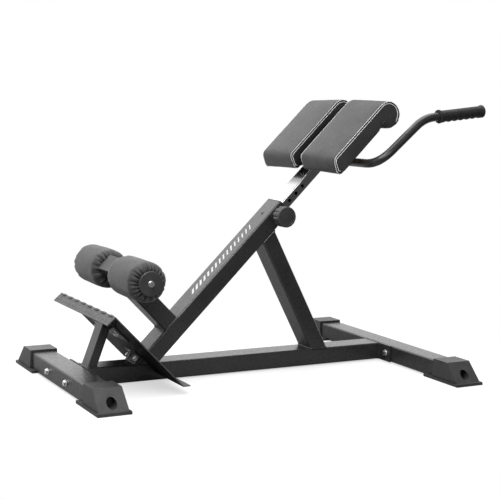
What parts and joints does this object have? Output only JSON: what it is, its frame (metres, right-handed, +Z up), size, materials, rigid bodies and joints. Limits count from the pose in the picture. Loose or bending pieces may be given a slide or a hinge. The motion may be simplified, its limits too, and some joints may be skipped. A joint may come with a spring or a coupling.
{
  "type": "roman chair",
  "caption": "Freestanding 45 degree back extension bench with split hip pads on a height-adjustable slider, forward handlebars, ankle rollers and a foot plate.",
  "frame": {"origin": "on the floor, under the middle of the bench's bounding box", "axes": "+Z up, +X from the foot plate end towards the handles, +Y to the user's left"},
  "size_m": [1.2305, 0.848, 0.7999],
  "materials": {
    "frame_black": "satin black powder coat",
    "tread_plate": "dark coated tread plate",
    "zinc_steel": "bright zinc",
    "chrome": "polished chrome plate",
    "hard_plastic": "fine moulded black plastic",
    "grip_rubber": "matt black rubber",
    "roller_cloth": "black coated nylon cover",
    "pad_vinyl": "fine-grained black vinyl with pale stitching",
    "plywood": "raw plywood"
  },
  "bodies": {
    "frame": {"axle_bolt_left": "zinc_steel", "axle_bolt_right": "zinc_steel", "brace_tube": "frame_black", "end_disc_left": "hard_plastic", "end_disc_right": "hard_plastic", "foot_mount_plate": "frame_black", "foot_plate": "tread_plate", "front_bolt_left": "zinc_steel", "front_bolt_right": "zinc_steel", "front_cross_tube": "frame_black", "front_flange": "frame_black", "front_foot_left": "hard_plastic", "front_foot_right": "hard_plastic", "front_nut_left": "zinc_steel", "front_nut_right": "zinc_steel", "heel_bolt_left": "zinc_steel", "heel_bolt_right": "zinc_steel", "heel_bracket": "frame_black", "housing_cap": "zinc_steel", "kick_strut": "frame_black", "main_rail": "frame_black", "mount_bolt_left": "zinc_steel", "mount_bolt_right": "zinc_steel", "mount_nut_left": "zinc_steel", "mount_nut_right": "zinc_steel", "pin_housing": "zinc_steel", "post_cap": "hard_plastic", "pull_spring": "zinc_steel", "rear_bolt_left": "zinc_steel", "rear_bolt_right": "zinc_steel", "rear_cross_tube": "frame_black", "rear_flange": "frame_black", "rear_foot_left": "hard_plastic", "rear_foot_right": "hard_plastic", "rear_nut_left": "zinc_steel", "rear_nut_right": "zinc_steel", "roller_axle": "zinc_steel", "roller_post": "frame_black", "upright_sleeve": "hard_plastic", "upright_tube": "frame_black"},
    "carriage": {"slider_tube": "chrome", "slider_plug": "hard_plastic", "lower_pad_plate": "frame_black", "upper_pad_plate": "frame_black", "pad_board_left": "plywood", "pad_board_right": "plywood", "pad_cushion_left": "pad_vinyl", "pad_cushion_right": "pad_vinyl", "handlebar": "frame_black", "grip_left": "grip_rubber", "grip_right": "grip_rubber", "lower_pad_screw_left": "zinc_steel", "lower_pad_screw_right": "zinc_steel", "upper_pad_screw_left": "zinc_steel", "upper_pad_screw_right": "zinc_steel"},
    "plunger": {"pull_pin": "zinc_steel"},
    "knob": {"pull_knob": "hard_plastic"},
    "left_roller": {"foam_roller_left": "roller_cloth"},
    "right_roller": {"foam_roller_right": "roller_cloth"}
  },
  "joints": [
    {"name": "carriage_slide", "type": "slide", "parent": "frame", "child": "carriage", "axis": [0.7071, 0, 0.7071], "range_m": [-0.12, 0.06]},
    {"name": "pin_travel", "type": "slide", "parent": "frame", "child": "plunger", "axis": [0, 1, 0], "range_m": [0, 0.0085]},
    {"name": "knob_turn", "type": "hinge", "parent": "plunger", "child": "knob", "pos_m": [0.04778, -0.07, 0.45608], "axis": [0, 1, 0], "continuous": true},
    {"name": "left_roller_spin", "type": "hinge", "parent": "frame", "child": "left_roller", "pos_m": [-0.43305, 0.129, 0.30618], "axis": [0, 1, 0], "continuous": true},
    {"name": "right_roller_spin", "type": "hinge", "parent": "frame", "child": "right_roller", "pos_m": [-0.43305, -0.129, 0.30618], "axis": [0, 1, 0], "continuous": true}
  ]
}
